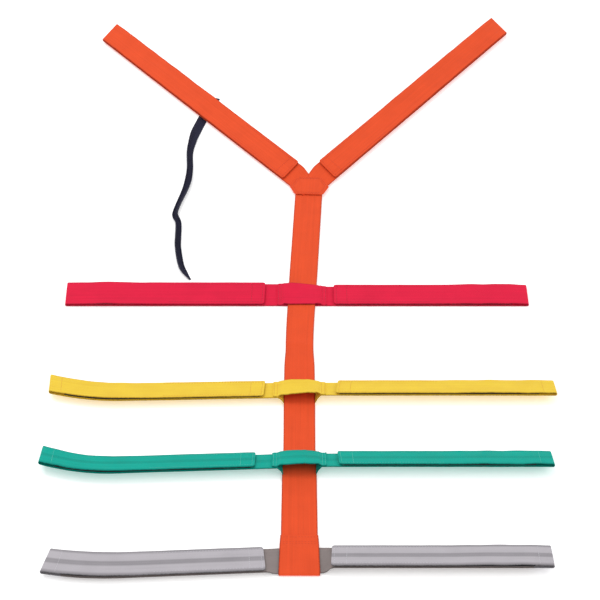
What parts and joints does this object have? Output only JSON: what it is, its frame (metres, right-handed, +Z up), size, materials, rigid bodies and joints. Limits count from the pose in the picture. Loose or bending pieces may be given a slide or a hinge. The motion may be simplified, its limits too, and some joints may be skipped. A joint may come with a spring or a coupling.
{
  "type": "spine board restraint harness",
  "caption": "Webbing spider-strap harness that ties a patient to a spine board: spine strap, shoulder yoke and colour-coded cross straps that fold back on hook-and-loop flaps.",
  "frame": {"origin": "centre of the footprint on the floor, with the harness laid out flat", "axes": "+X to the right of the laid-out harness, +Y towards the head end, +Z up from the floor"},
  "size_m": [0.8342, 1.5012, 0.0235],
  "materials": {
    "orange_webbing": "orange woven polyester webbing, 50 mm, slight sheen",
    "orange_thread": "orange bonded sewing thread",
    "red_webbing": "red woven polyester webbing, 50 mm, slight sheen",
    "red_thread": "red bonded sewing thread",
    "yellow_webbing": "yellow woven polyester webbing, 50 mm, slight sheen",
    "yellow_thread": "yellow bonded sewing thread",
    "green_webbing": "green woven polyester webbing, 50 mm, slight sheen",
    "green_thread": "green bonded sewing thread",
    "grey_webbing": "grey woven polyester webbing, 50 mm, slight sheen",
    "loop_tape": "brushed loop tape, fuzzy",
    "hook_tape": "moulded hook tape, fine rows of hooks",
    "tie_webbing": "narrow navy-black tape, limp"
  },
  "bodies": {
    "harness": {"spine_strap": "orange_webbing", "spine_end_loop": "orange_webbing", "shoulder_yoke": "orange_webbing", "yoke_patch": "orange_webbing", "yoke_stitching": "orange_thread", "end_loop_stitching": "orange_thread", "stowage_tie": "tie_webbing"},
    "chest_slider": {"chest_strap_centre": "red_webbing", "chest_keeper": "red_webbing", "chest_stitching": "red_thread"},
    "hip_slider": {"hip_strap_centre": "yellow_webbing", "hip_keeper": "yellow_webbing", "hip_stitching": "yellow_thread"},
    "thigh_slider": {"thigh_strap_centre": "green_webbing", "thigh_keeper": "green_webbing", "thigh_stitching": "green_thread"},
    "foot_slider": {"foot_strap_centre": "grey_webbing"},
    "left_shoulder_arm": {"left_shoulder_strap": "orange_webbing", "left_shoulder_loop_tape": "loop_tape"},
    "left_shoulder_closure": {"left_shoulder_flap": "orange_webbing", "left_shoulder_hook_tape": "hook_tape"},
    "right_shoulder_arm": {"right_shoulder_strap": "orange_webbing", "right_shoulder_loop_tape": "loop_tape"},
    "right_shoulder_closure": {"right_shoulder_flap": "orange_webbing", "right_shoulder_hook_tape": "hook_tape"},
    "left_chest_arm": {"left_chest_strap": "red_webbing", "left_chest_loop_tape": "loop_tape"},
    "left_chest_closure": {"left_chest_flap": "red_webbing", "left_chest_hook_tape": "hook_tape"},
    "right_chest_arm": {"right_chest_strap": "red_webbing", "right_chest_loop_tape": "loop_tape"},
    "right_chest_closure": {"right_chest_flap": "red_webbing", "right_chest_hook_tape": "hook_tape"},
    "left_hip_arm": {"left_hip_strap": "yellow_webbing", "left_hip_loop_tape": "loop_tape"},
    "left_hip_closure": {"left_hip_flap": "yellow_webbing", "left_hip_hook_tape": "hook_tape"},
    "right_hip_arm": {"right_hip_strap": "yellow_webbing", "right_hip_loop_tape": "loop_tape"},
    "right_hip_closure": {"right_hip_flap": "yellow_webbing", "right_hip_hook_tape": "hook_tape"},
    "left_thigh_arm": {"left_thigh_strap": "green_webbing", "left_thigh_loop_tape": "loop_tape"},
    "left_thigh_closure": {"left_thigh_flap": "green_webbing", "left_thigh_hook_tape": "hook_tape"},
    "right_thigh_arm": {"right_thigh_strap": "green_webbing", "right_thigh_loop_tape": "loop_tape"},
    "right_thigh_closure": {"right_thigh_flap": "green_webbing", "right_thigh_hook_tape": "hook_tape"},
    "left_foot_arm": {"left_foot_strap": "grey_webbing", "left_foot_loop_tape": "loop_tape"},
    "left_foot_closure": {"left_foot_flap": "grey_webbing", "left_foot_hook_tape": "hook_tape"},
    "right_foot_arm": {"right_foot_strap": "grey_webbing", "right_foot_loop_tape": "loop_tape"},
    "right_foot_closure": {"right_foot_flap": "grey_webbing", "right_foot_hook_tape": "hook_tape"}
  },
  "joints": [
    {"name": "chest_slide", "type": "slide", "parent": "harness", "child": "chest_slider", "axis": [0.0436, 0.999, 0], "range_m": [-0.08, 0.01]},
    {"name": "hip_slide", "type": "slide", "parent": "harness", "child": "hip_slider", "axis": [0, 1, 0], "range_m": [-0.05, 0.1]},
    {"name": "thigh_slide", "type": "slide", "parent": "harness", "child": "thigh_slider", "axis": [0, 1, 0], "range_m": [-0.06, 0.05]},
    {"name": "foot_slide", "type": "slide", "parent": "harness", "child": "foot_slider", "axis": [1, 0, 0], "range_m": [-0.006, 0.006]},
    {"name": "left_shoulder_lift", "type": "hinge", "parent": "harness", "child": "left_shoulder_arm", "pos_m": [-0.01801, 0.23285, 0.0051], "axis": [0.7902, 0.6129, 0], "range_deg": [0, 75]},
    {"name": "left_shoulder_peel", "type": "hinge", "parent": "left_shoulder_arm", "child": "left_shoulder_closure", "pos_m": [-0.38886, 0.70959, 0.01286], "axis": [-0.7825, -0.6069, -0.1392], "range_deg": [0, 175]},
    {"name": "right_shoulder_lift", "type": "hinge", "parent": "harness", "child": "right_shoulder_arm", "pos_m": [0.03696, 0.2339, 0.0051], "axis": [0.8131, -0.5821, 0], "range_deg": [0, 75]},
    {"name": "right_shoulder_peel", "type": "hinge", "parent": "right_shoulder_arm", "child": "right_shoulder_closure", "pos_m": [0.39564, 0.73348, 0.01286], "axis": [-0.8052, 0.5765, 0.1392], "range_deg": [0, 175]},
    {"name": "left_chest_lift", "type": "hinge", "parent": "chest_slider", "child": "left_chest_arm", "pos_m": [-0.05313, -0.1085, 0.0016], "axis": [0, 1, 0], "range_deg": [0, 75]},
    {"name": "left_chest_peel", "type": "hinge", "parent": "left_chest_arm", "child": "left_chest_closure", "pos_m": [-0.40013, -0.10933, 0.00936], "axis": [0, -0.9903, -0.1392], "range_deg": [0, 175]},
    {"name": "right_chest_lift", "type": "hinge", "parent": "chest_slider", "child": "right_chest_arm", "pos_m": [0.04687, -0.1085, 0.0016], "axis": [0, -1, 0], "range_deg": [0, 75]},
    {"name": "right_chest_peel", "type": "hinge", "parent": "right_chest_arm", "child": "right_chest_closure", "pos_m": [0.37687, -0.1086, 0.00637], "axis": [0, 0.9998, 0.0175], "range_deg": [0, 175]},
    {"name": "left_hip_lift", "type": "hinge", "parent": "hip_slider", "child": "left_hip_arm", "pos_m": [-0.06148, -0.35091, 0.0016], "axis": [-0.0262, 0.9997, 0], "range_deg": [0, 45]},
    {"name": "left_hip_peel", "type": "hinge", "parent": "left_hip_arm", "child": "left_hip_closure", "pos_m": [-0.40566, -0.33634, 0.01181], "axis": [-0.3316, -0.9119, 0.2419], "range_deg": [0, 175]},
    {"name": "right_hip_lift", "type": "hinge", "parent": "hip_slider", "child": "right_hip_arm", "pos_m": [0.0465, -0.3495, 0.0016], "axis": [0, -1, 0], "range_deg": [0, 45]},
    {"name": "right_hip_peel", "type": "hinge", "parent": "right_hip_arm", "child": "right_hip_closure", "pos_m": [0.3995, -0.34757, 0.01376], "axis": [0, 0.9455, -0.3256], "range_deg": [0, 175]},
    {"name": "left_thigh_lift", "type": "hinge", "parent": "thigh_slider", "child": "left_thigh_arm", "pos_m": [-0.06145, -0.51385, 0.0016], "axis": [-0.0436, 0.999, 0], "range_deg": [0, 45]},
    {"name": "left_thigh_peel", "type": "hinge", "parent": "left_thigh_arm", "child": "left_thigh_closure", "pos_m": [-0.40346, -0.50031, 0.01376], "axis": [-0.3762, -0.8675, 0.3256], "range_deg": [0, 175]},
    {"name": "right_thigh_lift", "type": "hinge", "parent": "thigh_slider", "child": "right_thigh_arm", "pos_m": [0.0465, -0.5115, 0.0016], "axis": [0, -1, 0], "range_deg": [0, 45]},
    {"name": "right_thigh_peel", "type": "hinge", "parent": "right_thigh_arm", "child": "right_thigh_closure", "pos_m": [0.3795, -0.50937, 0.01451], "axis": [0, 0.9336, -0.3584], "range_deg": [0, 175]},
    {"name": "left_foot_lift", "type": "hinge", "parent": "foot_slider", "child": "left_foot_arm", "pos_m": [-0.05144, -0.7138, 0.0035], "axis": [-0.0523, 0.9986, 0], "range_deg": [0, 75]},
    {"name": "left_foot_peel", "type": "hinge", "parent": "left_foot_arm", "child": "left_foot_closure", "pos_m": [-0.37543, -0.71645, 0.01], "axis": [-0.2026, -0.9754, 0.0872], "range_deg": [0, 175]},
    {"name": "right_foot_lift", "type": "hinge", "parent": "foot_slider", "child": "right_foot_arm", "pos_m": [0.0365, -0.7115, 0.0035], "axis": [0, -1, 0], "range_deg": [0, 75]},
    {"name": "right_foot_peel", "type": "hinge", "parent": "right_foot_arm", "child": "right_foot_closure", "pos_m": [0.3595, -0.71027, 0.01291], "axis": [0, 0.9781, -0.2079], "range_deg": [0, 175]}
  ]
}
